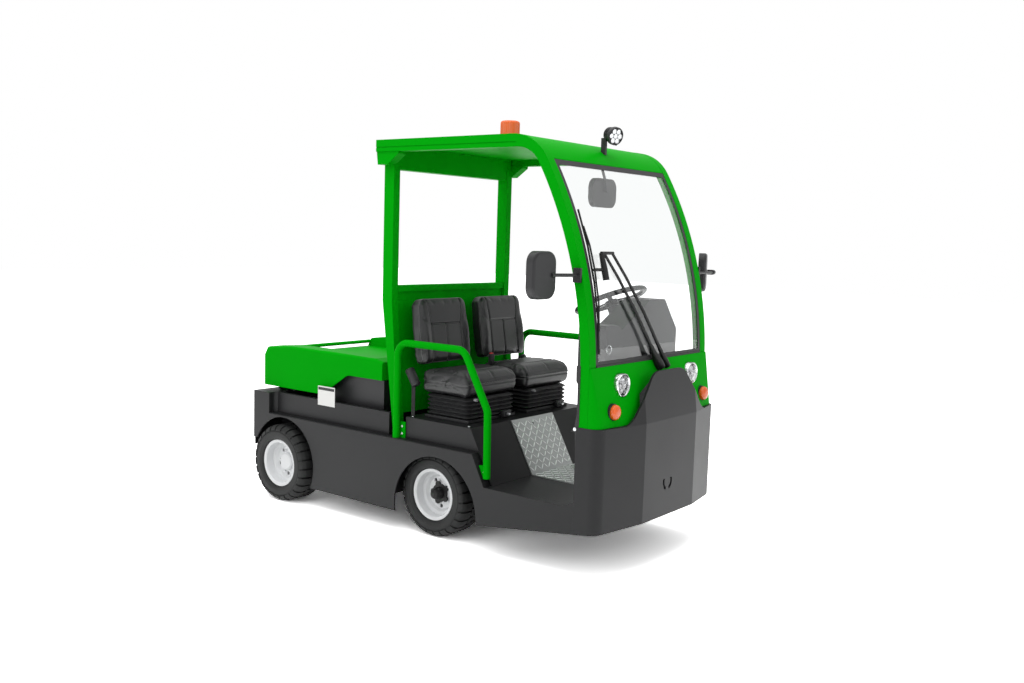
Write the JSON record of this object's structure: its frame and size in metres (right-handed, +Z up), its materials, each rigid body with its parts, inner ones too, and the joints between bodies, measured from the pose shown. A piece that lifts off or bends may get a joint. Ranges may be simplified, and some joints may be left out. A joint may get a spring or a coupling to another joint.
{
  "type": "airport baggage tug",
  "caption": "Electric baggage tow tractor with open two-seat cab, curved windscreen, rear load tray over the battery, steered front wheels and a rear pin coupling.",
  "frame": {"origin": "on the ground, midway between the front wheels, on the front axle's line", "axes": "+Z up, +Y towards the rear of the vehicle, +X towards the vehicle's left side"},
  "size_m": [1.7304, 2.697, 2.258],
  "materials": {
    "paint_green": "gloss signal green paint",
    "paint_grey": "satin anthracite paint",
    "checker": "raised checker plate",
    "steel_black": "semi-gloss black chassis paint",
    "pin_zinc": "zinc-plated steel",
    "battery_case": "satin dark grey steel trough",
    "tyre_rubber": "black industrial tyre rubber",
    "rim_white": "white gloss wheel paint",
    "glass_clear": "clear laminated glass",
    "plastic_black": "grained black plastic",
    "seat_cover": "black vinyl with stitched seams",
    "bellows_rubber": "black rubber bellows",
    "lamp_amber": "amber lens",
    "lamp_red": "red lens",
    "lamp_clear": "clear lens on a chrome reflector"
  },
  "bodies": {
    "chassis": {"cab_frame_right": "paint_green", "cab_frame_left": "paint_green", "roof_panel": "paint_green", "rear_frame": "paint_green", "rear_bulkhead": "paint_green", "front_panel": "paint_green", "grab_rails": "paint_green", "step_frame": "paint_grey", "spine_frame": "paint_grey", "axle_hangers": "paint_grey", "battery_well": "paint_grey", "rear_rails": "paint_grey", "side_panel_right": "paint_grey", "side_panel_left": "paint_grey", "rear_block": "paint_grey", "battery_rim": "paint_grey", "seat_box": "paint_grey", "front_bumper": "paint_grey", "nose_cover": "paint_grey", "floor_plate": "paint_grey", "hood_hinges": "paint_grey", "checker_plate": "checker", "front_axle": "steel_black", "rear_axle": "steel_black", "rear_springs": "steel_black", "tow_coupling": "steel_black", "battery": "battery_case", "windscreen": "glass_clear", "dashboard": "plastic_black", "steering_column": "plastic_black", "pedals": "plastic_black", "wiper": "plastic_black", "door_mirrors": "plastic_black", "inside_mirror": "plastic_black", "work_lamp": "plastic_black", "seat_cushions": "seat_cover", "seat_backs": "seat_cover", "seat_suspensions": "bellows_rubber", "windscreen_seal": "bellows_rubber", "beacon": "lamp_amber", "indicators": "lamp_amber", "headlamps": "lamp_clear"},
    "knuckle_right": {"knuckle_right": "steel_black"},
    "knuckle_left": {"knuckle_left": "steel_black"},
    "track_rod": {"track_rod": "steel_black"},
    "wheel_front_right": {"tyre_front_right": "tyre_rubber", "rim_front_right": "rim_white", "hub_front_right": "steel_black"},
    "wheel_front_left": {"tyre_front_left": "tyre_rubber", "rim_front_left": "rim_white", "hub_front_left": "steel_black"},
    "wheel_rear_right": {"tyre_rear_right": "tyre_rubber", "rim_rear_right": "rim_white"},
    "wheel_rear_left": {"tyre_rear_left": "tyre_rubber", "rim_rear_left": "rim_white"},
    "steering_wheel": {"steering_wheel": "plastic_black"},
    "battery_hood": {"battery_hood": "paint_green", "tail_lamps": "lamp_red"},
    "coupling_pin": {"coupling_pin": "pin_zinc"}
  },
  "joints": [
    {"name": "steer_right", "type": "hinge", "parent": "chassis", "child": "knuckle_right", "pos_m": [-0.292, 0, 0.229], "axis": [0, 0, 1], "range_deg": [-35, 35]},
    {"name": "steer_left", "type": "hinge", "parent": "chassis", "child": "knuckle_left", "pos_m": [0.292, 0, 0.229], "axis": [0, 0, 1], "range_deg": [-35, 35]},
    {"name": "track_rod_swing", "type": "hinge", "parent": "knuckle_right", "child": "track_rod", "pos_m": [-0.292, 0.118, 0.204], "axis": [0, 0, 1], "range_deg": [-35, 35]},
    {"name": "spin_front_right", "type": "hinge", "parent": "knuckle_right", "child": "wheel_front_right", "pos_m": [-0.425, 0, 0.229], "axis": [1, 0, 0], "continuous": true},
    {"name": "spin_front_left", "type": "hinge", "parent": "knuckle_left", "child": "wheel_front_left", "pos_m": [0.425, 0, 0.229], "axis": [1, 0, 0], "continuous": true},
    {"name": "spin_rear_right", "type": "hinge", "parent": "chassis", "child": "wheel_rear_right", "pos_m": [-0.523, 1.156, 0.229], "axis": [1, 0, 0], "continuous": true},
    {"name": "spin_rear_left", "type": "hinge", "parent": "chassis", "child": "wheel_rear_left", "pos_m": [0.523, 1.156, 0.229], "axis": [1, 0, 0], "continuous": true},
    {"name": "steering_turn", "type": "hinge", "parent": "chassis", "child": "steering_wheel", "pos_m": [0.24, -0.6, 1.29], "axis": [0, 0.4067, 0.9135], "continuous": true},
    {"name": "hood_hinge", "type": "hinge", "parent": "chassis", "child": "battery_hood", "pos_m": [0, 1.436, 0.654], "axis": [-1, 0, 0], "range_deg": [0, 70]},
    {"name": "pin_lift", "type": "slide", "parent": "chassis", "child": "coupling_pin", "axis": [0, 0, 1], "range_m": [0, 0.1]}
  ],
  "couplings": [
    {"joint": "steer_left", "follows": "steer_right", "ratio": 1},
    {"joint": "track_rod_swing", "follows": "steer_right", "ratio": -1}
  ]
}
